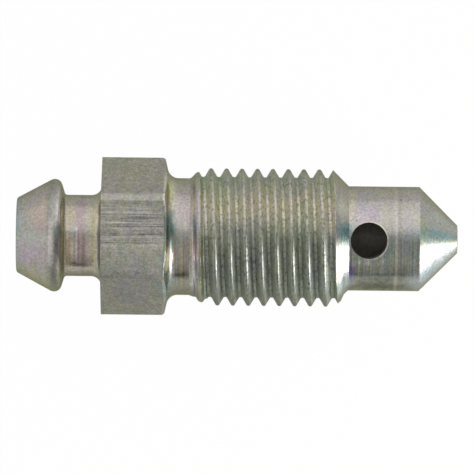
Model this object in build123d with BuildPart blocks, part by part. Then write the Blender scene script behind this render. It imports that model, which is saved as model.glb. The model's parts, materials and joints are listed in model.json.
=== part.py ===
"""A bleeder screw for a hydraulic brake, in millimetres.

The screw is one piece, turned from hexagon bar and drilled. Its axis runs along X, with the seat cone
towards +X and the hose nipple towards -X, and it lies on one flat of its hexagon. The origin is on the
axis, where the thread reaches its full diameter behind the relief neck.
"""

import os
from math import cos, radians, sin, tan

from build123d import *

# Thread, 3/8 inch with 24 turns to the inch: a plain cylinder at the crests, with its lead-in and end
thread_diameter = 9.4
thread_length = 9.1
thread_lead_in_angle = 57.0
thread_end_angle = 45.0

# Relief neck between the thread and the hexagon
relief_diameter = 8.0
relief_width = 1.65
relief_fillet = 0.72

# Wrench hexagon, 3/8 inch across its flats
hex_across_flats = 9.525
hex_length = 4.34
hex_corner_radius = 0.68
hex_back_lean = 13.0
hex_edge_length = 0.2
hex_edge_depth = 0.1

# Hose nipple and its barb
nipple_length = 5.81
nipple_diameter = 5.56
nipple_root_fillet = 0.7
barb_diameter = 7.7
barb_end_diameter = 5.08
barb_lead_angle = 28.3
barb_back_angle = 73.0
barb_crest_radius = 0.55
barb_end_rounding = 0.2
barb_root_fillet = 0.2

# Plain tip and its seat cone
tip_diameter = 7.14
tip_length = 4.76
seat_half_angle = 45.0
seat_end_diameter = 1.9
seat_end_rounding = 0.12

# Drilled passage: a blind bore along the axis, and a port into it through one side of the tip
bore_diameter = 2.6
bore_past_port = 1.6
bore_mouth_chamfer = 0.15
drill_point_angle = 118.0
port_diameter = 2.5
port_from_seat = 3.47
port_turn = 2.6

thread_radius = thread_diameter / 2
relief_radius = relief_diameter / 2
nipple_radius = nipple_diameter / 2
tip_radius = tip_diameter / 2
seat_end_radius = seat_end_diameter / 2
bore_radius = bore_diameter / 2

# Sharp corners of the hexagon bar, and its rounded ones
bar_radius = hex_across_flats / 2 / cos(radians(30.0))
hex_corner_reach = bar_radius - hex_corner_radius * (1 / cos(radians(30.0)) - 1)
hex_edge_radius = hex_corner_reach - hex_edge_depth
hex_edge_slope = hex_edge_length / hex_edge_depth

# The blend from the relief neck up the back of the hexagon is no larger than the wall it climbs
relief_blend = min(relief_fillet, hex_edge_radius - relief_radius)

# Stations along the axis, from the start of the full thread back to the nipple's end
relief_end_x = -(thread_radius - relief_radius) / tan(radians(thread_lead_in_angle))
relief_start_x = relief_end_x - relief_width
hex_back_x = relief_start_x - (hex_edge_radius - relief_radius) * tan(radians(hex_back_lean))
hex_front_x = hex_back_x - hex_length
nipple_end_x = hex_front_x - nipple_length

# The barb's sharp corner, from the diameter over its rounded crest
crest_half_turn = radians(barb_lead_angle + barb_back_angle) / 2
crest_lean = radians(barb_back_angle - barb_lead_angle) / 2
crest_centre_radius = barb_diameter / 2 - barb_crest_radius
barb_corner_radius = crest_centre_radius + barb_crest_radius * cos(crest_lean) / cos(crest_half_turn)
barb_corner_x = nipple_end_x + (barb_corner_radius - barb_end_diameter / 2) / tan(radians(barb_lead_angle))
barb_back_x = barb_corner_x + (barb_corner_radius - nipple_radius) / tan(radians(barb_back_angle))

# Stations from the thread on to the end of the seat cone
tip_start_x = thread_length + (thread_radius - tip_radius) / tan(radians(thread_end_angle))
seat_x = tip_start_x + tip_length
seat_end_x = seat_x + (tip_radius - seat_end_radius) / tan(radians(seat_half_angle))

# The passage
port_x = seat_x - port_from_seat
bore_end_x = port_x + bore_past_port
drill_point_length = bore_radius / tan(radians(drill_point_angle / 2))
port_direction = Vector(0, -sin(radians(port_turn)), cos(radians(port_turn)))
port_mouth = Vector(port_x, 0, 0) + port_direction * tip_radius

# Corners of the turned outline as (x, radius, rounding), from the nipple's end to the seat cone's end
outline = [
    (nipple_end_x, 0, 0),
    (nipple_end_x, barb_end_diameter / 2, barb_end_rounding),
    (barb_corner_x, barb_corner_radius, barb_crest_radius),
    (barb_back_x, nipple_radius, barb_root_fillet),
    (hex_front_x, nipple_radius, nipple_root_fillet),
    (hex_front_x, bar_radius, 0),
    (hex_back_x - (bar_radius - hex_edge_radius) * hex_edge_slope, bar_radius, 0),
    (hex_back_x, hex_edge_radius, 0),
    (relief_start_x, relief_radius, relief_blend),
    (relief_end_x, relief_radius, 0),
    (0, thread_radius, 0),
    (thread_length, thread_radius, 0),
    (tip_start_x, tip_radius, 0),
    (seat_x, tip_radius, 0),
    (seat_end_x, seat_end_radius, seat_end_rounding),
    (seat_end_x, 0, 0),
]
outline_points = [(x, radius) for x, radius, _ in outline]
outline_roundings = [rounding for _, _, rounding in outline]

# Section of the hexagon bar, flats up and down, corners rounded as drawn bar has them
with BuildSketch() as bar_section:
    RegularPolygon(radius=hex_across_flats / 2, side_count=6, major_radius=False)
    fillet(bar_section.vertices(), radius=hex_corner_radius)

with BuildPart() as bleeder_screw:
    # Turning
    with BuildSketch(Plane.XZ):
        with BuildLine():
            FilletPolyline(outline_points, radius=outline_roundings, close=True)
        make_face()
    revolve(axis=Axis.X)

    # The six flats of the bar, left standing between the nipple and the relief neck
    with BuildSketch(Plane.YZ.offset(hex_front_x)):
        Circle(radius=2 * bar_radius)
        add(bar_section.sketch, mode=Mode.SUBTRACT)
    extrude(amount=relief_start_x - hex_front_x, mode=Mode.SUBTRACT)

    # Axial bore, with its chamfered mouth and the drill's point
    with BuildSketch(Plane.XZ):
        with BuildLine():
            Polyline(
                (nipple_end_x, 0),
                (nipple_end_x, bore_radius + bore_mouth_chamfer),
                (nipple_end_x + bore_mouth_chamfer, bore_radius),
                (bore_end_x, bore_radius),
                (bore_end_x + drill_point_length, 0),
                close=True,
            )
        make_face()
    revolve(axis=Axis.X, mode=Mode.SUBTRACT)

    # Cross port, drilled from one side down to the bore, a little out of line with the flats
    with Locations(Plane(origin=port_mouth, z_dir=port_direction)):
        Hole(radius=port_diameter / 2, depth=tip_radius)

bleeder_screw.part.label = "bleeder_screw"

os.makedirs("parts", exist_ok=True)
export_step(bleeder_screw.part, "parts/bleeder_screw.step")
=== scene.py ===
"""The looks of a bleeder screw: one turned, threaded and drilled piece in zinc-plated steel.

The screw lies on a flat of its hexagon, its axis along X, and the camera looks straight down on it.
Lengths are in millimetres until a mesh or a lamp is placed, and MM turns them to metres.
"""

import json
from math import acos, cos, pi, radians, tan

import bmesh
import bpy
from mathutils import Matrix, Vector


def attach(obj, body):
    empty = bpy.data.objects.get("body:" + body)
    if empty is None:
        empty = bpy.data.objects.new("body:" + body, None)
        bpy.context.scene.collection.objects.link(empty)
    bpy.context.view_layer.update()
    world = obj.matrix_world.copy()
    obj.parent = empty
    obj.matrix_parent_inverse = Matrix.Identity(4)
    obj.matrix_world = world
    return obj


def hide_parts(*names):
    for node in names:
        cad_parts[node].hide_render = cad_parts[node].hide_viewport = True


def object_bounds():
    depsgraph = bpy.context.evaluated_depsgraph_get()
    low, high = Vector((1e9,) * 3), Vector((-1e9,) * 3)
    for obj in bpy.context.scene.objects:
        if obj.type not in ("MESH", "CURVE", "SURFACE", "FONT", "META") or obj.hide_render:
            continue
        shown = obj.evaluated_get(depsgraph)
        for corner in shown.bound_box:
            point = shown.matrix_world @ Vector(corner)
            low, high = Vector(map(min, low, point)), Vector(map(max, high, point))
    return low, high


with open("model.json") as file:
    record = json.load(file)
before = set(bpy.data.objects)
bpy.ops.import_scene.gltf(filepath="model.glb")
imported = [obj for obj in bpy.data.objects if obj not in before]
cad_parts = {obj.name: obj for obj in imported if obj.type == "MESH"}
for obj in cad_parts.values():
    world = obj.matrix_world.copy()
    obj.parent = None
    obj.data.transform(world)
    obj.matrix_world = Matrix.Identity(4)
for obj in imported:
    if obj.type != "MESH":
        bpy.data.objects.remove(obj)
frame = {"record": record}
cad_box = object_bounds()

MM = 0.001

# How finely the mesh is divided: round the axis, round the port, along a rounding, a broken edge and a corner
# of the thread, and in cuts across a flank and along a crest
SIDES = 128
PORT_SIDES = 96
ARC_STEPS = 8
EDGE_STEPS = 3
PORT_EDGE_STEPS = 2
CORNER_STEPS = 4
FLANK_CUTS = 7
CREST_CUTS = 2
SMOOTH_ANGLE = radians(32)

# Points closer than CLOSE are one, and a face this near to the turned radius is turned. The helix closes its
# seam within SEAM_GAP, and an edge no longer than NO_LENGTH is taken out, both in metres
CLOSE = 0.002
SKIN_DEPTH = 3 * CLOSE
SEAM_GAP = 1e-7
NO_LENGTH = 1e-8

# The share of X in a face's normal: below the first two for a flat of the hexagon and for the drawn bar's
# skin, and above the third for the hexagon's back
FLAT_NORMAL = 0.05
DRAWN_NORMAL = 0.1
BACK_NORMAL = 0.9

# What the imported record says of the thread, the seat, the nipple, the flats, the bore and the port
MOUNTS = {mount["name"]: mount for mount in frame["record"]["mounts"]}


def mount_size(name, key):
    return MOUNTS[name]["dims"][key]


def mount_place(name):
    return Vector(MOUNTS[name]["pos_m"]) / MM


THREAD_RADIUS = mount_size("thread", "r_mm")
THREAD_LENGTH = mount_size("thread", "length_mm")
TIP_RADIUS = mount_size("seat_cone", "r_mm")
SEAT_X = mount_place("seat_cone").x
BARB_RADIUS = mount_size("hose_nipple", "r_mm")
NIPPLE_LENGTH = mount_size("hose_nipple", "length_mm")
BORE_RADIUS = mount_size("axial_bore", "r_mm")
PORT_RADIUS = mount_size("cross_port", "r_mm")
PORT_X = mount_place("cross_port").x
PORT_DIRECTION = Vector(MOUNTS["cross_port"]["axis"]).normalized()
HALF_FLATS = mount_place("wrench_flat_top").z
NIPPLE_END_X = cad_box[0].x / MM
SEAT_END_X = cad_box[1].x / MM

# Thread, 24 turns to the inch and right-handed
PITCH = 25.4 / 24
THREAD_DEPTH = 0.585
FLANK_ANGLE = radians(30)
CREST_WIDTH = 0.18
CREST_ROUNDING = 0.085
ROOT_ROUNDING = 0.06
CREST_X = 0.71

# The lead-in's slope, how far it sways along the axis, and the blend at its foot at the back. Above, the
# blend is BLEND_WIDER times as wide, and in front wider by BLEND_SWAY more
LEAD_IN_ANGLE = radians(57)
LEAD_IN_SWAY = 0.14
LEAD_IN_BLEND = 0.2
BLEND_WIDER = 1.4
BLEND_SWAY = 0.4

# The first crest: the radius it grows from, how much further along its flank lies above than in front, and
# once the crest is grown, and how far below the full radius it is worn fully round
FIRST_CREST_RADIUS = 4.44
FIRST_FLANK_SWAY = 0.11
FIRST_FLANK_GROWTH = 0.22
FIRST_CREST_WORN = 0.1

# The end chamfer, and how far the last crest stands proud of it. It does so from PROUD_FROM of the way round
# to the front, and from PROUD_SHORT before the tip
END_ANGLE = radians(45)
END_SHORT = 0.07
END_CREST_PROUD = 0.24
PROUD_FROM = 0.6
PROUD_GROWTH = 0.3
PROUD_SHORT = 0.33
PROUD_RUN = 0.2

# Relief neck and hexagon
RELIEF_RADIUS = 4.0
RELIEF_WIDTH = 1.65
RELIEF_FILLET = 0.72
HEX_LENGTH = 4.34
HEX_CORNER_RADIUS = 0.68
HEX_EDGE_LENGTH = 0.2
HEX_EDGE_DEPTH = 0.1
EDGE_BREAK = 0.17
EDGE_ZONE = 0.3

# Hose nipple
NIPPLE_RADIUS = 2.78
NIPPLE_FILLET = 0.7
BARB_END_RADIUS = 2.54
BARB_LEAD = radians(28.3)
BARB_BACK = radians(73)
BARB_CREST_ROUNDING = 0.55
BARB_END_ROUNDING = 0.2
BARB_ROOT_FILLET = 0.2

# Tip and passage
SEAT_END_RADIUS = 0.95
SEAT_END_ROUNDING = 0.12
BORE_PAST_PORT = 1.6
BORE_MOUTH_CHAMFER = 0.15
DRILL_POINT = radians(118)
DRILL_POINT_RADIUS = 0.01
DRILL_OUTSIDE = 1.0
PORT_EDGE_BREAK = 0.1

# Stations along the axis
BAR_RADIUS = HALF_FLATS / cos(pi / 6)
HEX_REACH = BAR_RADIUS - HEX_CORNER_RADIUS * (1 / cos(pi / 6) - 1)
HEX_EDGE_RADIUS = HEX_REACH - HEX_EDGE_DEPTH
RELIEF_END_X = -(THREAD_RADIUS - RELIEF_RADIUS) / tan(LEAD_IN_ANGLE)
RELIEF_START_X = RELIEF_END_X - RELIEF_WIDTH
HEX_FRONT_X = NIPPLE_END_X + NIPPLE_LENGTH
HEX_BACK_X = HEX_FRONT_X + HEX_LENGTH
THREAD_START_X = RELIEF_END_X - LEAD_IN_SWAY - LEAD_IN_BLEND
TIP_START_X = THREAD_LENGTH + (THREAD_RADIUS - TIP_RADIUS) / tan(END_ANGLE)
BORE_END_X = PORT_X + BORE_PAST_PORT


def deselect_all():
    bpy.ops.object.select_all(action="DESELECT")


def activate(piece):
    deselect_all()
    piece.select_set(True)
    bpy.context.view_layer.objects.active = piece


def settle(piece):
    """Puts a new primitive's place and turn into its mesh, and opens it for editing."""
    activate(piece)
    bpy.ops.object.transform_apply(location=True, rotation=True, scale=True)
    bpy.ops.object.mode_set(mode="EDIT")


def select_edges(piece, wanted):
    """In edit mode, selects the edges for which wanted(first end, second end) holds, in millimetres."""
    bpy.ops.mesh.select_mode(type="EDGE")
    bpy.ops.mesh.select_all(action="DESELECT")
    mesh = bmesh.from_edit_mesh(piece.data)
    for edge in mesh.edges:
        edge.select = wanted(edge.verts[0].co / MM, edge.verts[1].co / MM)
    mesh.select_flush_mode()
    bmesh.update_edit_mesh(piece.data)


def off_axis(point):
    return (point.y**2 + point.z**2) ** 0.5


def turned(name, corners):
    """A body turned along X. Each corner is (x, radius, rounding): the body is extruded and scaled from
    corner to corner, and then each ring that has a rounding is bevelled to an arc of that radius."""
    x, radius, _ = corners[0]
    deselect_all()
    bpy.ops.mesh.primitive_circle_add(
        vertices=SIDES, radius=radius * MM, fill_type="NGON", location=(x * MM, 0, 0), rotation=(0, pi / 2, 0)
    )
    body = bpy.context.object
    body.name = name
    settle(body)
    bpy.ops.mesh.select_all(action="SELECT")
    for next_x, next_radius, _ in corners[1:]:
        bpy.ops.mesh.extrude_region_move(TRANSFORM_OT_translate={"value": ((next_x - x) * MM, 0, 0)})
        grow = next_radius / radius
        bpy.ops.transform.resize(value=(1, grow, grow), center_override=(next_x * MM, 0, 0))
        x, radius = next_x, next_radius
    for before, corner, after in zip([None, *corners], corners, [*corners[1:], None]):
        if corner[2]:
            round_ring(body, before, corner, after)
    bpy.ops.mesh.select_all(action="SELECT")
    bpy.ops.mesh.normals_make_consistent(inside=False)
    bpy.ops.object.mode_set(mode="OBJECT")
    return body


def round_ring(body, before, corner, after):
    """Bevels one ring of a turned body to an arc. At the ends of the body, the flat end is its neighbour."""
    x, radius, rounding = corner
    inward, outward = Vector((0, -1)), Vector((0, -1))
    if before:
        inward = Vector((before[0] - x, before[1] - radius))
    if after:
        outward = Vector((after[0] - x, after[1] - radius))
    turn = pi - inward.angle(outward)
    select_edges(
        body,
        lambda a, b: all(abs(p.x - x) < CLOSE and abs(off_axis(p) - radius) < CLOSE for p in (a, b)),
    )
    bpy.ops.mesh.bevel(offset=rounding * tan(turn / 2) * MM, segments=ARC_STEPS, profile=0.5, affect="EDGES")


def cut(piece, tool, operation):
    """Cuts a piece with a tool, faces of the cut taking the tool's material, and throws the tool away."""
    activate(piece)
    modifier = piece.modifiers.new(tool.name, "BOOLEAN")
    modifier.operation = operation
    modifier.solver = "EXACT"
    modifier.material_mode = "TRANSFER"
    modifier.object = tool
    bpy.ops.object.modifier_apply(modifier=modifier.name)
    bpy.data.objects.remove(tool)


def make_head():
    """The hose nipple, the hexagon and the relief neck, up to where the thread begins."""
    half_turn = (BARB_LEAD + BARB_BACK) / 2
    lean = (BARB_BACK - BARB_LEAD) / 2
    barb_corner_radius = BARB_RADIUS - BARB_CREST_ROUNDING * (1 - cos(lean) / cos(half_turn))
    barb_corner_x = NIPPLE_END_X + (barb_corner_radius - BARB_END_RADIUS) / tan(BARB_LEAD)
    barb_back_x = barb_corner_x + (barb_corner_radius - NIPPLE_RADIUS) / tan(BARB_BACK)
    edge_run = (BAR_RADIUS - HEX_EDGE_RADIUS) * HEX_EDGE_LENGTH / HEX_EDGE_DEPTH
    head = turned(
        "head",
        [
            (NIPPLE_END_X, BARB_END_RADIUS, BARB_END_ROUNDING),
            (barb_corner_x, barb_corner_radius, BARB_CREST_ROUNDING),
            (barb_back_x, NIPPLE_RADIUS, BARB_ROOT_FILLET),
            (HEX_FRONT_X, NIPPLE_RADIUS, NIPPLE_FILLET),
            (HEX_FRONT_X, BAR_RADIUS, 0),
            (HEX_BACK_X - edge_run, BAR_RADIUS, 0),
            (HEX_BACK_X, HEX_EDGE_RADIUS, 0),
            (RELIEF_START_X, RELIEF_RADIUS, RELIEF_FILLET),
            (THREAD_START_X, RELIEF_RADIUS, 0),
        ],
    )
    cut(head, make_bar(), "INTERSECT")
    break_back_edges(head)
    return head


def break_back_edges(head):
    """Rounds the edges where the flats meet the back of the hexagon."""
    activate(head)
    bpy.ops.object.mode_set(mode="EDIT")
    bpy.ops.mesh.select_mode(type="EDGE")
    bpy.ops.mesh.select_all(action="DESELECT")
    mesh = bmesh.from_edit_mesh(head.data)
    for edge in mesh.edges:
        at_back = all(abs(end.co.x / MM - HEX_BACK_X) < EDGE_ZONE for end in edge.verts)
        lean = sorted(abs(face.normal.x) for face in edge.link_faces)
        edge.select = at_back and len(lean) == 2 and lean[0] < FLAT_NORMAL and lean[1] > BACK_NORMAL
    mesh.select_flush_mode()
    bmesh.update_edit_mesh(head.data)
    bpy.ops.mesh.bevel(offset=EDGE_BREAK * MM, segments=EDGE_STEPS, profile=0.5, affect="EDGES")
    bpy.ops.object.mode_set(mode="OBJECT")


def make_bar():
    """The hexagon bar that the screw is turned from, with the rounded corners of drawn bar."""
    length = 2 * (THREAD_START_X - NIPPLE_END_X)
    deselect_all()
    bpy.ops.mesh.primitive_cylinder_add(
        vertices=6, radius=BAR_RADIUS * MM, depth=length * MM,
        location=(HEX_FRONT_X * MM, 0, 0), rotation=(0, pi / 2, 0),
    )
    bar = bpy.context.object
    bar.name = "bar"
    settle(bar)
    select_edges(bar, lambda a, b: abs(a.x - b.x) > length / 2)
    offset = HEX_CORNER_RADIUS * tan(pi / 6)
    bpy.ops.mesh.bevel(offset=offset * MM, segments=ARC_STEPS, profile=0.5, affect="EDGES")
    bpy.ops.object.mode_set(mode="OBJECT")
    return bar


def soft_lower(a, b, rounding):
    """The lower of two radii, the corner between them worn round."""
    return (a + b - ((a - b) ** 2 + rounding**2) ** 0.5) / 2


def clamped(value):
    """A value kept between 0 and 1."""
    return min(max(value, 0), 1)


def thread_limit(place):
    """The turned radius that the thread was cut into, at a place: the lead-in, the full diameter and the end
    chamfer."""
    x, across = place.x, place.y / off_axis(place)
    return min(THREAD_RADIUS, lead_in_limit(place, x, across), end_limit(x, across))


def lead_in_limit(place, x, across):
    """The lead-in and the first turn. The lead-in follows the thread a little, so it begins sooner at the
    back of the screw than in front."""
    lead_in = RELIEF_RADIUS + (x - RELIEF_END_X + LEAD_IN_SWAY * across) * tan(LEAD_IN_ANGLE)

    # Along its first turn the crest grows to its full height only beneath, and its flank is worn back in
    # front
    turn = acos(across) / (2 * pi)
    if place.z < 0:
        turn = 1 - turn
    crest_x = CREST_X + PITCH * (turn - 1)
    grown = max(turn * 2 - 1, 0)
    if x < crest_x - PITCH / 2 + CLOSE:
        crest_x, grown = crest_x - PITCH, 0
    crest = THREAD_RADIUS
    if x < crest_x + PITCH / 2 - CLOSE:
        crest = FIRST_CREST_RADIUS + (THREAD_RADIUS - FIRST_CREST_RADIUS) * grown
        past_crest = x - crest_x - FIRST_FLANK_SWAY * (1 + across) - FIRST_FLANK_GROWTH * grown
        crest = min(crest, crest + CREST_ROUNDING / 2 - past_crest / tan(FLANK_ANGLE))
        crest = max(crest, THREAD_RADIUS - THREAD_DEPTH)
    worn = min((THREAD_RADIUS - crest) / FIRST_CREST_WORN, 1)
    start = soft_lower(lead_in, crest, 2 * CREST_ROUNDING * worn)

    # A blend at the foot of the lead-in, wider in front
    blend_size = LEAD_IN_BLEND * (BLEND_WIDER - BLEND_SWAY * across)
    blend_size *= clamped((x - THREAD_START_X) / LEAD_IN_BLEND)
    return -soft_lower(-start, -RELIEF_RADIUS, blend_size)


def end_limit(x, across):
    """The end chamfer. The last crest, upset by the die, stands proud of it in front."""
    in_front = clamped((-across - PROUD_FROM) / PROUD_GROWTH)
    on_crest = clamped((TIP_START_X - PROUD_SHORT - x) / PROUD_RUN)
    chamfer = TIP_RADIUS + max(TIP_START_X - END_SHORT - x, 0) * tan(END_ANGLE)
    return chamfer + END_CREST_PROUD * in_front * on_crest


def make_thread():
    """The thread: one pitch of its outline, rounded at crest and root, swept along the helix, then turned
    down to the lead-in and the end chamfer. It is an open sleeve between the relief neck and the tip."""
    flank = THREAD_DEPTH * tan(FLANK_ANGLE)
    root_radius = THREAD_RADIUS - THREAD_DEPTH
    turns_before = 3
    first_x = CREST_X - turns_before * PITCH
    corners = [
        (first_x - PITCH / 2, root_radius),
        (first_x - CREST_WIDTH / 2 - flank, root_radius),
        (first_x - CREST_WIDTH / 2, THREAD_RADIUS),
        (first_x + CREST_WIDTH / 2, THREAD_RADIUS),
        (first_x + CREST_WIDTH / 2 + flank, root_radius),
        (first_x + PITCH / 2, root_radius),
    ]
    deselect_all()
    bpy.ops.mesh.primitive_plane_add(size=MM, location=(corners[0][0] * MM, corners[0][1] * MM, 0))
    thread = bpy.context.object
    thread.name = "thread"
    settle(thread)
    bpy.ops.mesh.select_mode(type="VERT")
    bpy.ops.mesh.select_all(action="SELECT")
    bpy.ops.mesh.merge(type="CENTER")
    for before, corner in zip(corners, corners[1:]):
        step = ((corner[0] - before[0]) * MM, (corner[1] - before[1]) * MM, 0)
        bpy.ops.mesh.extrude_vertices_move(TRANSFORM_OT_translate={"value": step})
    round_corners(thread, corners[1:5:3], ROOT_ROUNDING)
    round_corners(thread, corners[2:4], CREST_ROUNDING)
    select_edges(thread, lambda a, b: abs(a.y - b.y) > THREAD_DEPTH / 2)
    bpy.ops.mesh.subdivide(number_cuts=FLANK_CUTS)
    select_edges(thread, lambda a, b: abs(a.y - b.y) < CLOSE and abs(a.x - b.x) > CREST_ROUNDING)
    bpy.ops.mesh.subdivide(number_cuts=CREST_CUTS)
    bpy.ops.object.mode_set(mode="OBJECT")

    sweep = thread.modifiers.new("helix", "SCREW")
    sweep.axis = "X"
    sweep.angle = 2 * pi
    sweep.screw_offset = PITCH * MM
    sweep.steps = sweep.render_steps = SIDES
    sweep.iterations = int((TIP_START_X - first_x) / PITCH) + 2
    sweep.use_merge_vertices = True
    sweep.merge_threshold = SEAM_GAP
    sweep.use_smooth_shade = True
    activate(thread)
    bpy.ops.object.modifier_apply(modifier=sweep.name)
    bpy.ops.object.mode_set(mode="EDIT")
    bpy.ops.mesh.select_all(action="SELECT")
    bpy.ops.mesh.remove_doubles(threshold=CLOSE * MM / 10)
    bpy.ops.object.mode_set(mode="OBJECT")

    for vertex in thread.data.vertices:
        place = vertex.co / MM
        place.x = min(max(place.x, THREAD_START_X), TIP_START_X)
        shrink = min(1, thread_limit(place) / off_axis(place))
        vertex.co = Vector((place.x, place.y * shrink, place.z * shrink)) * MM
    return thread


def round_corners(outline, corners, rounding):
    """Rounds the corners between a flank and a flat of the thread's outline."""
    bpy.ops.mesh.select_mode(type="VERT")
    bpy.ops.mesh.select_all(action="DESELECT")
    mesh = bmesh.from_edit_mesh(outline.data)
    for vertex in mesh.verts:
        place = vertex.co / MM
        vertex.select = any(abs(place.x - x) < CLOSE and abs(place.y - y) < CLOSE for x, y in corners)
    bmesh.update_edit_mesh(outline.data)
    bpy.ops.mesh.bevel(offset=rounding * MM, segments=CORNER_STEPS, profile=0.5, affect="VERTICES")


def make_tip():
    """The plain tip and its seat cone."""
    return turned(
        "tip",
        [
            (TIP_START_X, TIP_RADIUS, 0),
            (SEAT_X, TIP_RADIUS, 0),
            (SEAT_END_X, SEAT_END_RADIUS, SEAT_END_ROUNDING),
        ],
    )


def drop_end(piece, x):
    """Takes away the flat end that a turned body has at x, so that the next one can join its ring."""
    activate(piece)
    bpy.ops.object.mode_set(mode="EDIT")
    bpy.ops.mesh.select_mode(type="FACE")
    bpy.ops.mesh.select_all(action="DESELECT")
    mesh = bmesh.from_edit_mesh(piece.data)
    for face in mesh.faces:
        face.select = all(abs(v.co.x / MM - x) < CLOSE for v in face.verts)
    bmesh.update_edit_mesh(piece.data)
    bpy.ops.mesh.delete(type="ONLY_FACE")
    bpy.ops.object.mode_set(mode="OBJECT")


def make_axial_drill(material):
    """The drill that cut the axial bore, with its point, and the chamfer at the bore's mouth."""
    drill = turned(
        "axial_drill",
        [
            (NIPPLE_END_X - DRILL_OUTSIDE, BORE_RADIUS + BORE_MOUTH_CHAMFER, 0),
            (NIPPLE_END_X, BORE_RADIUS + BORE_MOUTH_CHAMFER, 0),
            (NIPPLE_END_X + BORE_MOUTH_CHAMFER, BORE_RADIUS, 0),
            (BORE_END_X, BORE_RADIUS, 0),
            (BORE_END_X + BORE_RADIUS / tan(DRILL_POINT / 2), DRILL_POINT_RADIUS, 0),
        ],
    )
    drill.data.materials.append(material)
    return drill


def make_port_drill(material):
    """The drill that cut the cross port, from outside down to the axis."""
    reach = 2 * TIP_RADIUS
    place = (Vector((PORT_X, 0, 0)) + PORT_DIRECTION * reach / 2) * MM
    deselect_all()
    bpy.ops.mesh.primitive_cylinder_add(
        vertices=PORT_SIDES, radius=PORT_RADIUS * MM, depth=reach * MM,
        location=place, rotation=PORT_DIRECTION.to_track_quat("Z", "Y").to_euler(),
    )
    drill = bpy.context.object
    drill.name = "port_drill"
    settle(drill)
    select_edges(drill, lambda a, b: off_axis(a) < PORT_RADIUS + CLOSE and off_axis(b) < PORT_RADIUS + CLOSE)
    bpy.ops.mesh.bevel(offset=PORT_EDGE_BREAK * MM, segments=PORT_EDGE_STEPS, profile=0.5, affect="EDGES")
    bpy.ops.object.mode_set(mode="OBJECT")
    drill.data.materials.append(material)
    return drill


def linear(hex_colour):
    """An sRGB hex colour as the linear RGBA that a shader takes."""
    channels = [int(hex_colour[i:i + 2], 16) / 255 for i in (1, 3, 5)]
    return [c / 12.92 if c <= 0.04045 else ((c + 0.055) / 1.055) ** 2.4 for c in channels] + [1]


def add(tree, kind, inputs=(), **settings):
    """Adds a node with its settings. Each input takes a value, or another node's output to link."""
    node = tree.nodes.new(kind)
    for name, value in settings.items():
        setattr(node, name, value)
    for name, value in dict(inputs).items():
        if isinstance(value, bpy.types.NodeSocket):
            tree.links.new(value, node.inputs[name])
        else:
            node.inputs[name].default_value = value
    return node


def calculate(tree, operation, *values):
    return add(tree, "ShaderNodeMath", enumerate(values), operation=operation).outputs[0]


def product(tree, first, *others):
    for other in others:
        first = calculate(tree, "MULTIPLY", first, other)
    return first


def multiply_add(tree, value, factor, offset):
    return calculate(tree, "MULTIPLY_ADD", value, factor, offset)


def vector_math(tree, operation, *values, output="Vector"):
    return add(tree, "ShaderNodeVectorMath", enumerate(values), operation=operation).outputs[output]


def smooth_step(tree, value, low, high):
    """0 at low, 1 at high, and a smooth run between them."""
    ends = {"Value": value, "From Min": low, "From Max": high}
    return add(tree, "ShaderNodeMapRange", ends, interpolation_type="SMOOTHSTEP").outputs[0]


def along_axis(tree, place):
    """The place along X."""
    return add(tree, "ShaderNodeSeparateXYZ", {0: place}).outputs["X"]


def new_material(name):
    material = bpy.data.materials.new(name)
    material.use_nodes = True
    tree = material.node_tree
    return material, tree, tree.nodes["Principled BSDF"]


def scaled(tree, what, scale):
    """A place or a colour, scaled."""
    return add(tree, "ShaderNodeVectorMath", {0: what, "Scale": scale}, operation="SCALE").outputs[0]


def millimetres(tree):
    """The place on the piece in millimetres, as the piece's own coordinates give it."""
    return scaled(tree, add(tree, "ShaderNodeTexCoord").outputs["Object"], 1 / MM)


def grain(tree, place, per_mm, detail=2.0, roughness=0.5, distortion=0.0):
    """Noise round 0 with so many cells to the millimetre: a number for all ways, or three for X, Y and Z."""
    if isinstance(per_mm, float):
        per_mm = (per_mm, per_mm, per_mm)
    noise = add(tree, "ShaderNodeTexNoise", {
        "Vector": vector_math(tree, "MULTIPLY", place, per_mm),
        "Scale": 1.0, "Detail": detail, "Roughness": roughness, "Distortion": distortion,
    })
    return calculate(tree, "SUBTRACT", noise.outputs["Fac"], 0.5)


def colour_run(tree, value, stops, interpolation):
    """A run of colours, each stop a place from 0 to 1 and a linear RGBA colour."""
    ramp = add(tree, "ShaderNodeValToRGB", {"Fac": value})
    ramp.color_ramp.interpolation = interpolation
    elements = ramp.color_ramp.elements
    while len(elements) < len(stops):
        elements.new(1.0)
    for element, (place, colour) in zip(elements, stops):
        element.position = place
        element.color = colour
    return ramp.outputs["Color"]


def bands(tree, value, stops):
    """A smooth run of colours, each stop a place from 0 to 1 and an sRGB hex colour."""
    return colour_run(tree, value, [(place, linear(colour)) for place, colour in stops], "B_SPLINE")


def blend(tree, mode, share, under, over):
    """Two colours blended. The share of the upper one is a number or a node's output."""
    inputs = {0: share, 6: under, 7: over}
    return add(tree, "ShaderNodeMix", inputs, data_type="RGBA", blend_type=mode).outputs[2]


def shaded(tree, colour, *changes, level=1.0):
    """A colour made lighter or darker by changes, each a pattern round 0 and its strength."""
    for pattern, strength in changes:
        level = multiply_add(tree, pattern, strength, level)
    return scaled(tree, colour, level)


def angle_round(tree, place):
    """Where a point lies round the axis: 0.5 at the top, 0.75 at the back, 0.25 in front, 0 and 1 beneath."""
    at = add(tree, "ShaderNodeSeparateXYZ", {0: place})
    angle = calculate(tree, "ARCTAN2", at.outputs["Y"], at.outputs["Z"])
    return multiply_add(tree, angle, 0.5 / pi, 0.5)


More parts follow.
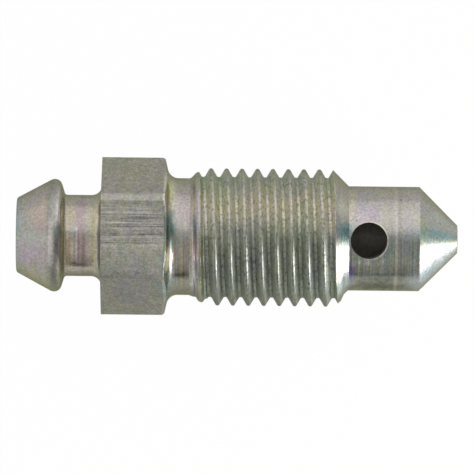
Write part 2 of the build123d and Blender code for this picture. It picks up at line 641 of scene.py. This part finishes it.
# The passivated zinc's film is a little thicker or thinner round the screw, so its tint runs through
# pale olive, rose, steel blue and green, from 0 beneath over 0.5 at the top to 1 beneath again. The runs of
# the turned skin and the thread also hold painted light: the turned run is painted darker on the front side,
# and the thread's darker on the front side and lighter just behind the top, as the light falls
TURNED_FILM_AND_PAINTED_LIGHT = (
    (0.00, "#cacfc3"), (0.12, "#d1cdc7"), (0.25, "#ceceba"), (0.34, "#cdcec1"), (0.40, "#cdd2c7"),
    (0.44, "#ced1c6"), (0.475, "#cdd1cd"), (0.505, "#ced4d0"), (0.53, "#d0d1cf"), (0.57, "#d4d0cd"),
    (0.62, "#d2cfc9"), (0.67, "#cecec5"), (0.73, "#cecfbe"), (0.88, "#d1d0c1"), (1.00, "#cacfc3"),
)
THREAD_FILM_AND_PAINTED_LIGHT = (
    (0.00, "#b8bfb6"), (0.20, "#b4bbb2"), (0.32, "#acb3ac"), (0.42, "#abb0a8"), (0.48, "#b8bcb3"),
    (0.52, "#cfd2c6"), (0.56, "#d8d3c6"), (0.61, "#d4d2c4"), (0.66, "#cdd2c4"), (0.73, "#c5cec2"),
    (0.88, "#bfc3b7"), (1.00, "#b8bfb6"),
)
FILM_DRAWN = (
    (0.00, "#c5c6ba"), (0.30, "#c2c3b6"), (0.40, "#bcbdb7"), (0.45, "#c6c6bf"), (0.50, "#dad8ce"),
    (0.53, "#cecdc4"), (0.58, "#c3c3bb"), (0.70, "#c7c6ba"), (1.00, "#c5c6ba"),
)
# Clouds of slightly other film, as factors on the colour beneath
FILM_CLOUDS = (
    (0.30, "#dfeaf6"), (0.40, "#f6e2ee"), (0.48, "#ffffff"), (0.54, "#fff4cf"), (0.62, "#e0f3df"),
    (0.72, "#e8e6fb"),
)
EDGE_TINT = "#d2d2bc"

# Patches of other colour, as (x and reach along the axis in mm, angle from the top towards the back and reach
# round the axis in degrees, colour, share). Some are where the film dried thicker; many are painted light:
# painted highlights, painted shade and painted reflections of the studio. Later patches lie over earlier ones
FILM_STAINS_AND_PAINTED_LIGHT = (
    # Barb cone: bluish at its edge, salmon above, green across the middle, lavender below, olive beneath
    (-12.45, 0.25, 0, 90, "#c1cdd0", 0.8),
    (-10.85, 0.65, 20, 26, "#e1ccc2", 0.9),
    (-11.5, 1.4, -4, 6, "#d2dece", 0.9),
    (-11.5, 1.2, -26, 20, "#e6d6e1", 0.9),
    (-11.4, 1.2, -62, 18, "#d6d4ac", 0.7),
    # Nipple, warmer and painted lighter below, as the light falls
    (-8.3, 1.8, -24, 30, "#fff0e2", 1.0),
    # Barb crest and its back, dark in front: painted shade, with patches of painted light
    (-10.1, 0.34, 20, 70, "#aeb2a9", 0.9),
    (-9.5, 0.26, 32, 22, "#ffffff", 1.0),
    (-9.45, 0.16, 32, 22, "#ffffff", 1.0),
    (-10.14, 0.2, -14, 26, "#fff6f0", 1.0),
    (-9.42, 0.28, -16, 26, "#d4d6dc", 1.0),
    (-9.73, 0.19, -14, 20, "#827c79", 1.0),
    (-9.65, 0.26, 4, 7, "#909c9a", 0.9),
    (-9.95, 0.35, -50, 18, "#a0a296", 0.9),
    # Nipple: yellow, lavender and green bands above, fine rings below, one white ring a painted highlight, a
    # dark streak low in front, and painted shade low on the front side
    (-8.9, 0.4, 32, 20, "#ccc2a4", 0.9),
    (-8.15, 0.35, 30, 26, "#c4b0b3", 0.9),
    (-7.3, 0.4, 24, 30, "#c6c1a0", 0.9),
    (-7.05, 0.16, 26, 26, "#f6ead2", 0.9),
    (-8.05, 0.4, -22, 24, "#bfa9b1", 0.6),
    (-9.0, 0.2, -20, 26, "#f2e4b4", 0.8),
    (-9.16, 0.07, -16, 24, "#babaa2", 0.9),
    (-8.42, 0.045, -16, 24, "#ffffff", 1.0),
    (-8.27, 0.06, -16, 24, "#b497a0", 0.7),
    (-7.25, 0.25, -22, 24, "#f6efc8", 0.9),
    (-8.2, 0.75, -46, 4, "#8c7f74", 1.0),
    (-8.2, 1.6, -72, 9, "#b9b8a0", 0.8),
    (-6.85, 0.1, 0, 200, "#e0dcc8", 0.5),
    (-6.95, 0.15, -20, 26, "#cdd8de", 1.0),
    (-7.06, 0.06, -16, 26, "#fff6e4", 0.9),
    # Fillet behind the hexagon: yellow above, teal in the middle, pale blue below, a red line at the neck.
    # The white and pale yellow are painted light over the fillet's shaded band, and the teal and pale blue
    # are painted reflections of the studio
    (-2.35, 0.12, -38, 18, "#ffffff", 1.0),
    (-2.28, 0.2, 32, 26, "#ffffff", 1.0),
    (-2.0, 0.35, 42, 20, "#ffffd1", 1.0),
    (-1.96, 0.4, 7, 15, "#7ea39c", 1.0),
    (-2.15, 0.4, -42, 18, "#c1d6df", 0.8),
    (-1.74, 0.08, -16, 11, "#9b6057", 0.8),
    # Neck: lighter low in front, painted light; rose above; two dark streaks low in front; darker low on the
    # front side, painted shade
    (-1.1, 1.0, -24, 26, "#d1c8bc", 0.7),
    (-0.9, 1.0, 30, 24, "#c9bcbf", 0.8),
    (-1.5, 0.3, -41, 3.5, "#858277", 1.0),
    (-1.1, 0.3, -41, 3.5, "#858277", 1.0),
    (-1.1, 0.9, -66, 13, "#b0b19e", 0.9),
    # Foot of the lead-in: painted lighter in front, with a painted rose highlight
    (-0.4, 0.22, -40, 22, "#ffffff", 1.0),
    (-0.38, 0.22, -14, 14, "#ffe2ea", 1.0),
    # End of the thread: teal in the middle and pale blue-green below, both painted reflections of the studio
    (9.85, 0.5, 29, 9, "#e8ead0", 0.9),
    (9.85, 0.5, 8, 10, "#8ebabf", 1.0),
    (9.35, 0.16, -20, 36, "#bc9f93", 0.6),
    # Tip: yellow beside the thread, lavender above the port, blue-green streaks below that are painted
    # reflections, short white marks that are painted highlights, painted shade low on the front side, violet
    # by the thread
    (10.38, 0.2, 34, 20, "#e6e0b3", 0.9),
    (11.1, 1.0, 30, 18, "#d4c8d6", 0.7),
    (12.6, 3.0, -12, 17, "#a8b8b5", 0.9),
    (12.6, 2.4, -31, 7, "#cfd3c8", 0.7),
    (12.5, 2.4, -66, 13, "#84887a", 1.0),
    (12.6, 3.0, -44, 3, "#9cabac", 1.0),
    (10.32, 0.22, -40, 11, "#a798d1", 0.9),
    (10.9, 0.07, -28, 2.5, "#ffffff", 1.0),
    (11.35, 0.07, -29, 2.5, "#fff0e0", 1.0),
    (11.52, 0.08, -28, 3.5, "#ffffff", 1.0),
    (12.5, 0.05, -25, 3.5, "#fff4e4", 0.8),
    (12.2, 0.05, -29, 2.0, "#ffffff", 0.7),
    (10.63, 0.05, 20, 1.0, "#7c8078", 1.0),
    (13.65, 0.06, 48, 1.5, "#7c8078", 0.9),
    (13.36, 0.13, 0, 90, "#ebe6d8", 0.6),
    (13.62, 0.13, 0, 90, "#b3b3a8", 0.6),
    (15.02, 0.08, -38, 30, "#c39388", 0.8),
    # End of the thread again, painted paler low in front, a painted reflection of the table
    (9.7, 0.5, -54, 18, "#e6f4f6", 1.0),
    # Seat cone: yellow-green where it begins, teal in the middle and pale blue below, both painted
    # reflections of the studio
    (15.3, 0.3, 8, 11, "#e1ecb1", 0.9),
    (16.3, 1.4, 38, 20, "#cfd6cc", 0.9),
    (16.3, 1.4, 7, 8, "#b0d0d2", 1.0),
    (15.9, 1.4, -52, 24, "#e0eef6", 1.0),
)


# A patch fades out over PATCH_FADE of its reaches, and noise round 0 times PATCH_WANDER moves its edge
PATCH_FADE = 1.8
PATCH_WANDER = 2.4


def stained_and_painted_light(tree, place, colour, patches):
    """A colour with patches over it: other film, and painted highlights, shade and reflections. A wandering
    edge keeps them from being plain ovals.
    """
    wander = product(tree, grain(tree, place, 1.3, detail=3.0), PATCH_WANDER)
    x = along_axis(tree, place)
    degrees = multiply_add(tree, angle_round(tree, place), 360, -180)
    for patch_x, reach_x, patch_degrees, reach_round, tint, share in patches:
        along = product(tree, calculate(tree, "SUBTRACT", x, patch_x), 1 / reach_x)
        across = calculate(tree, "SUBTRACT", degrees, patch_degrees)
        across = multiply_add(tree, across, 1 / reach_round, wander)
        away = multiply_add(tree, along, along, product(tree, across, across))
        mask = smooth_step(tree, calculate(tree, "SQRT", away), PATCH_FADE, 0.0)
        colour = blend(tree, "MIX", product(tree, mask, share), colour, linear(tint))
    return colour


def surface_tint(tree, place, film, cloud_share):
    """The tint of the passivated zinc on a place of the piece, drifting to and fro, with its clouds. The run
    it reads can also hold painted light.
    """
    drift = grain(tree, place, 0.35, distortion=0.5)
    tint = bands(tree, multiply_add(tree, drift, 0.16, angle_round(tree, place)), film)
    cloud = grain(tree, place, (0.7, 0.45, 0.45), detail=3.0, distortion=0.8)
    cloud = bands(tree, calculate(tree, "ADD", cloud, 0.5), FILM_CLOUDS)
    return blend(tree, "MULTIPLY", cloud_share, tint, cloud)


def plate(tree, shader, colour, roughness, height, depth):
    """Makes a shader a plated metal, from a colour, a roughness and a bump of a depth in millimetres."""
    bump = add(tree, "ShaderNodeBump", {"Height": height, "Strength": 1.0, "Distance": depth * MM})
    tree.links.new(colour, shader.inputs["Base Color"])
    tree.links.new(roughness, shader.inputs["Roughness"])
    tree.links.new(bump.outputs[0], shader.inputs["Normal"])
    shader.inputs["Metallic"].default_value = 1.0
    shader.inputs["Specular Tint"].default_value = linear(EDGE_TINT)


# The highlight painted on the port's rim: from where it begins to where it is plain, outwards from the port's
# edge, along the port's axis from the screw's, and along the screw from the port's axis
RIM_OUTWARDS = (0.12, 0.04)
RIM_HEIGHT = (2.0, 2.5)
RIM_ALONG = (-0.8, 0.6)
RIM_RAGGED = 0.12
RIM_HIGHLIGHT_COLOUR = "#fff6e6"


def port_rim_highlight(tree, place):
    """Where a highlight is painted on the rim of the cross port: a thin ring, plainest towards the tip."""
    from_port = vector_math(tree, "SUBTRACT", place, (PORT_X, 0, 0))
    height = vector_math(tree, "DOT_PRODUCT", from_port, tuple(PORT_DIRECTION), output="Value")
    outwards = vector_math(tree, "CROSS_PRODUCT", from_port, tuple(PORT_DIRECTION))
    outwards = vector_math(tree, "LENGTH", outwards, output="Value")
    outwards = multiply_add(tree, grain(tree, place, 3.0), RIM_RAGGED, outwards)
    ring = smooth_step(tree, outwards, *(PORT_RADIUS + reach for reach in RIM_OUTWARDS))
    outside = smooth_step(tree, height, *RIM_HEIGHT)
    return product(tree, outside, ring, smooth_step(tree, along_axis(tree, from_port), *RIM_ALONG))


# Where the turned rings are painted plainest, partly painted light where the light picks them out low in
# front, by the angle round the axis and by the place along it
RINGS_ABOVE = (0.52, 0.47)
RINGS_BELOW = (0.34, 0.38)
RINGS_BEHIND_BARB = (-9.9, -9.2)
RINGS_BEFORE_SEAT = (SEAT_X, SEAT_X - 0.1)
# Where the barb's crest is scuffed, by the same
SCUFF_START = (-10.3, -10.0)
SCUFF_END = (-9.2, -9.5)
SCUFF_ABOVE = (0.53, 0.49)


def zinc_plated_turned_steel():
    """Free-cutting steel turned in a lathe, zinc-plated and passivated: satin, ringed by the tool's feed,
    with a pale iridescent film. The rings are drawn twice as coarse as a fine feed of 0.06 mm, so that
    they show."""
    material, tree, shader = new_material("zinc_plated_steel_turned")
    place = millimetres(tree)
    angle, x = angle_round(tree, place), along_axis(tree, place)
    rings = grain(tree, place, (7.5, 0.14, 0.14), detail=3.0, roughness=0.75)
    speckle = grain(tree, place, 6.0, roughness=0.7)
    spread = grain(tree, place, (0.9, 0.6, 0.6), detail=3.0)

    # The rings are painted plainest low in front, partly painted light where the light picks them out in
    # glints, and the film takes other colours in them
    ragged = multiply_add(tree, rings, 0.06, angle)
    front = product(tree, smooth_step(tree, ragged, *RINGS_ABOVE), smooth_step(tree, ragged, *RINGS_BELOW))
    shank = product(tree, smooth_step(tree, x, *RINGS_BEHIND_BARB), smooth_step(tree, x, *RINGS_BEFORE_SEAT))
    front = product(tree, front, shank)
    # Over the film lie patches of other film and of painted highlights, painted shade and painted reflections
    colour = stained_and_painted_light(tree, place, surface_tint(tree, place, TURNED_FILM_AND_PAINTED_LIGHT, cloud_share=0.5), FILM_STAINS_AND_PAINTED_LIGHT)
    ring_film = multiply_add(tree, grain(tree, place, (5.0, 0.1, 0.1), roughness=0.6), 1.2, 0.5)
    ring_film = bands(tree, ring_film, FILM_CLOUDS)
    colour = blend(tree, "MULTIPLY", multiply_add(tree, front, 0.65, 0.15), colour, ring_film)
    # A highlight is painted on the port's rim
    colour = blend(tree, "MIX", port_rim_highlight(tree, place), colour, linear(RIM_HIGHLIGHT_COLOUR))
    colour = shaded(tree, colour, (rings, multiply_add(tree, front, 1.3, 0.3)), (speckle, 1.1))

    # The barb's crest is scuffed dull in front
    scuffed = product(tree, smooth_step(tree, x, *SCUFF_START), smooth_step(tree, x, *SCUFF_END))
    scuffed = product(tree, scuffed, smooth_step(tree, angle, *SCUFF_ABOVE))
    roughness = multiply_add(tree, spread, 0.25, multiply_add(tree, scuffed, 0.2, 0.26))
    plate(tree, shader, colour, roughness, multiply_add(tree, speckle, 0.8, rings), depth=0.0035)
    return material


# Where the thread's flanks are, by the radius: from above the root, and to below the crest. The die tore them
# matt, and their colour is painted lighter as painted light
FLANK_FROM_ROOT = (THREAD_RADIUS - THREAD_DEPTH - 0.01, THREAD_RADIUS - THREAD_DEPTH + 0.06)
FLANK_TO_CREST = (THREAD_RADIUS - 0.02, THREAD_RADIUS - 0.12)


def zinc_plated_threaded_steel():
    """The thread was cut by a die: its flanks, matt from the die's tearing, are also painted lighter, painted
    light where they catch light inside the thread; its crests keep the turned skin, and small pits in both
    break up what they mirror."""
    material, tree, shader = new_material("zinc_plated_steel_threaded")
    place = millimetres(tree)
    radius = vector_math(tree, "LENGTH", vector_math(tree, "MULTIPLY", place, (0, 1, 1)), output="Value")
    torn_flanks_painted_lighter = smooth_step(tree, radius, *FLANK_FROM_ROOT)
    torn_flanks_painted_lighter = product(tree, torn_flanks_painted_lighter, smooth_step(tree, radius, *FLANK_TO_CREST))
    rings = grain(tree, place, (7.0, 0.3, 0.3))
    speckle = grain(tree, place, 6.0, detail=3.0, roughness=0.75)
    pits = smooth_step(tree, grain(tree, place, 4.5, roughness=0.6), 0.03, 0.12)
    colour = surface_tint(tree, place, THREAD_FILM_AND_PAINTED_LIGHT, cloud_share=0.35)
    # The flanks are painted lighter: painted light where they catch light inside the thread
    colour = shaded(tree, colour, (torn_flanks_painted_lighter, 0.25), (rings, 0.25), (speckle, 1.1), (pits, -0.45), level=1.05)
    roughness = multiply_add(tree, speckle, 0.15, multiply_add(tree, torn_flanks_painted_lighter, 0.25, 0.25))
    plate(tree, shader, colour, roughness, multiply_add(tree, speckle, 1.4, rings), depth=0.024)
    return material


def zinc_plated_drawn_steel():
    """The hexagon's flats are the drawn bar's own skin, zinc-plated: duller than what was turned, streaked
    along the bar down the middle of the flats above and below, and mottled and pitted elsewhere."""
    material, tree, shader = new_material("zinc_plated_steel_drawn")
    place = millimetres(tree)
    across = calculate(tree, "PINGPONG", multiply_add(tree, angle_round(tree, place), 2.0, -0.04), 0.5)
    middle = smooth_step(tree, across, 0.15, 0.03)
    broken = smooth_step(tree, grain(tree, place, (0.6, 2.5, 2.5), detail=1.0), -0.25, 0.08)
    streaks = grain(tree, place, (0.1, 5.0, 5.0), detail=3.0, roughness=0.75)
    streaks = product(tree, streaks, broken, multiply_add(tree, middle, 0.95, 0.05))
    mottle = grain(tree, place, 2.6, detail=4.0, roughness=0.7)
    speckle = grain(tree, place, 6.5, roughness=0.8)
    colour = surface_tint(tree, place, FILM_DRAWN, cloud_share=0.5)
    colour = shaded(tree, colour, (streaks, 3.4), (mottle, 0.9), (speckle, 1.3))
    roughness = multiply_add(tree, mottle, 0.3, 0.45)
    height = multiply_add(tree, mottle, 0.8, product(tree, streaks, 1.5))
    plate(tree, shader, colour, roughness, height, depth=0.03)
    return material


def drilled_steel():
    """The passage, drilled and only thinly plated inside, so dull grey."""
    material, tree, shader = new_material("drilled_steel")
    grooves = grain(tree, millimetres(tree), 3.0, detail=3.0)
    colour = shaded(tree, linear("#b0aea6")[:3], (grooves, 0.8))
    tree.links.new(colour, shader.inputs["Base Color"])
    shader.inputs["Metallic"].default_value = 0.6
    shader.inputs["Roughness"].default_value = 0.6
    return material


# The finishes in the order of the screw's materials
TURNED, THREADED, DRAWN = range(3)


def make_screw():
    """The whole screw as one closed mesh, standing for the CAD solid."""
    finishes = (zinc_plated_turned_steel(), zinc_plated_threaded_steel(), zinc_plated_drawn_steel())
    drilled_finish = drilled_steel()
    head, thread, tip = make_head(), make_thread(), make_tip()
    drop_end(head, THREAD_START_X)
    drop_end(tip, TIP_START_X)
    for part in (head, thread, tip):
        part.data.materials.clear()
        for finish in finishes:
            part.data.materials.append(finish)
    activate(head)
    thread.select_set(True)
    tip.select_set(True)
    bpy.ops.object.join()
    screw = bpy.context.object
    screw.name = "bleeder_screw_body"
    bpy.ops.object.mode_set(mode="EDIT")
    bpy.ops.mesh.select_all(action="SELECT")
    bpy.ops.mesh.remove_doubles(threshold=CLOSE * MM)
    bpy.ops.mesh.dissolve_degenerate(threshold=NO_LENGTH)
    bpy.ops.mesh.select_all(action="SELECT")
    bpy.ops.mesh.normals_make_consistent(inside=False)
    bpy.ops.object.mode_set(mode="OBJECT")
    for face in screw.data.polygons:
        face.material_index = finish_at(face.center / MM, face.normal)
    cut(screw, make_axial_drill(drilled_finish), "DIFFERENCE")
    cut(screw, make_port_drill(drilled_finish), "DIFFERENCE")
    activate(screw)
    bpy.ops.object.shade_smooth_by_angle(angle=SMOOTH_ANGLE)
    return screw


def finish_at(place, normal):
    """The finish of a face. The lead-in and the end chamfer of the thread are turned."""
    if THREAD_START_X < place.x < TIP_START_X:
        limit = thread_limit(place)
        turned_skin = limit < THREAD_RADIUS - CLOSE and off_axis(place) > limit - SKIN_DEPTH
        return TURNED if turned_skin else THREADED
    on_hexagon = HEX_FRONT_X < place.x < HEX_BACK_X
    return DRAWN if on_hexagon and abs(normal.x) < DRAWN_NORMAL else TURNED


# How large the white table is, how much of its white is its own when it is seen and when metal mirrors it,
# and how bright that is in metal. The rest is lit
FLOOR_SIZE = 4000.0
FLOOR_SEEN = 0.99
FLOOR_IN_METAL = 0.6
FLOOR_LEVEL_IN_METAL = 0.46


def make_floor():
    """A white table top. It is as white to the camera as paper and pale grey to the metal above it, and part
    of it is lit, so that it keeps the screw's shadow."""
    deselect_all()
    bpy.ops.mesh.primitive_plane_add(size=FLOOR_SIZE * MM, location=(0, 0, cad_box[0].z))
    floor = bpy.context.object
    floor.name = "table_top"
    material, tree, shader = new_material("white_table_top")
    shader.inputs["Base Color"].default_value = linear("#fafafa")
    shader.inputs["Roughness"].default_value = 0.8
    path = add(tree, "ShaderNodeLightPath").outputs
    mirrored = calculate(tree, "MAXIMUM", path["Is Glossy Ray"], path["Is Transmission Ray"])
    seen = product(tree, path["Is Camera Ray"], FLOOR_SEEN)
    share = calculate(tree, "MAXIMUM", product(tree, mirrored, FLOOR_IN_METAL), seen)
    level = multiply_add(tree, mirrored, FLOOR_LEVEL_IN_METAL - 1, 1)
    white = add(tree, "ShaderNodeEmission", {"Color": (1, 1, 1, 1), "Strength": level})
    mix = add(tree, "ShaderNodeMixShader", {0: share, 1: shader.outputs[0], 2: white.outputs[0]})
    tree.links.new(mix.outputs[0], tree.nodes["Material Output"].inputs["Surface"])
    floor.data.materials.append(material)
    return floor


# The studio's levels, where 1 is as bright as white paper, as (place from -1 to 1, level, tint).
# Seen from the screw, from the front over the camera to the back:
STUDIO_OVER = (
    (-1.0, 0.20, "#ffffff"), (-0.8, 0.36, "#ffffff"), (-0.5, 0.36, "#ffffff"), (-0.05, 0.34, "#ffffff"),
    (0.12, 0.42, "#ffffff"), (0.30, 0.69, "#ffffff"), (0.5, 0.80, "#ffffff"), (0.8, 0.84, "#ffffff"),
    (1.0, 0.72, "#ffffff"),
)
# on the nipple's side, front to back:
STUDIO_LEFT = (
    (-1.0, 0.43, "#ffffff"), (-0.3, 0.52, "#ffffff"), (0.1, 0.55, "#ffffff"), (0.7, 0.60, "#ffffff"),
    (1.0, 0.65, "#ffffff"),
)
# and on the tip's side, by the angle from square front to square back, with a dark gap in the middle:
STUDIO_RIGHT = (
    (-1.0, 0.30, "#ffffff"), (-0.4, 0.40, "#ffffff"), (-0.06, 0.43, "#ffffff"), (0.02, 0.26, "#b8d4d2"),
    (0.16, 0.30, "#c4dad6"), (0.30, 0.72, "#ffffff"), (1.0, 0.80, "#ffffff"),
)
# Between which places along X the walls at the two ends come in
LEFT_WALL = (-0.3, -0.75)
RIGHT_WALL = (0.2, 0.55)


def studio_run(tree, place, stops):
    """The studio's brightness along one run of stops, for a place from -1 to 1."""
    colours = [
        (at / 2 + 0.5, [channel * level for channel in linear(tint)[:3]] + [1]) for at, level, tint in stops
    ]
    return colour_run(tree, multiply_add(tree, place, 0.5, 0.5), colours, "LINEAR")


def make_studio():
    """The studio round the screw: a wide softbox behind, a paler wall at the nipple's end, a dark card low
    in front, and a dark gap beside the softbox at the tip's end."""
    world = bpy.data.worlds.new("studio")
    world.use_nodes = True
    tree = world.node_tree
    generated = add(tree, "ShaderNodeTexCoord").outputs["Generated"]
    toward = add(tree, "ShaderNodeSeparateXYZ", {0: generated}).outputs
    azimuth = product(tree, calculate(tree, "ARCTAN2", toward["Y"], toward["X"]), 2 / pi)
    light = studio_run(tree, toward["Y"], STUDIO_OVER)
    left = smooth_step(tree, toward["X"], *LEFT_WALL)
    light = blend(tree, "MIX", left, light, studio_run(tree, toward["Y"], STUDIO_LEFT))
    right = smooth_step(tree, toward["X"], *RIGHT_WALL)
    light = blend(tree, "MIX", right, light, studio_run(tree, azimuth, STUDIO_RIGHT))
    tree.links.new(light, tree.nodes["Background"].inputs["Color"])
    bpy.context.scene.world = world


# Bright panels at the tip's end, as (centre, direction of the long side, length, width, level)
PANELS = (
    ((50, -17.5, 8.2), (38, 0, 24), 48, 29, 4.3),
    ((48.7, -31, 23.7), (-13, -17.4, 30.8), 38, 9, 3.5),
)


def add_panels():
    """The panels, which aren't seen, only mirrored. Each faces the screw as squarely as its long side lets
    it."""
    for number, (centre, long_side, length, width, level) in enumerate(PANELS, 1):
        centre, along = Vector(centre), Vector(long_side).normalized()
        facing = (centre - along * centre.dot(along)).normalized()
        side = facing.cross(along)
        lamp = bpy.data.lights.new(f"panel_{number}", "AREA")
        lamp.shape = "RECTANGLE"
        lamp.size, lamp.size_y = length * MM, width * MM
        lamp.energy = level * pi * lamp.size * lamp.size_y
        panel = bpy.data.objects.new(f"panel_{number}", lamp)
        bpy.context.scene.collection.objects.link(panel)
        panel.location = centre * MM
        panel.rotation_euler = Matrix((along, side, facing)).transposed().to_euler()
        panel.visible_camera = False


# The photograph's frame: 474 pixels wide, 14.6 to the millimetre at the screw's axis
FRAME_PIXELS = 474
PIXELS_PER_MM = 14.6
VIEW_CENTRE = (2.53, 0.01)
VIEW_ROLL = radians(0.62)
CAMERA_HEIGHT = 500.0
SENSOR_WIDTH = 36.0
CLIP_START = 10.0
CLIP_END = 10000.0


def add_camera():
    camera = bpy.data.objects.new("camera", bpy.data.cameras.new("camera"))
    bpy.context.scene.collection.objects.link(camera)
    camera.data.sensor_width = SENSOR_WIDTH
    camera.data.lens = SENSOR_WIDTH * CAMERA_HEIGHT * PIXELS_PER_MM / FRAME_PIXELS
    camera.location = (VIEW_CENTRE[0] * MM, VIEW_CENTRE[1] * MM, CAMERA_HEIGHT * MM)
    camera.rotation_euler = (0, 0, VIEW_ROLL)
    camera.data.clip_start, camera.data.clip_end = CLIP_START * MM, CLIP_END * MM
    bpy.context.scene.camera = camera


add_camera()
make_studio()
add_panels()
make_floor()
screw = make_screw()
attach(screw, "root")
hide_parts("bleeder_screw")

bpy.context.scene.view_settings.view_transform = "Standard"
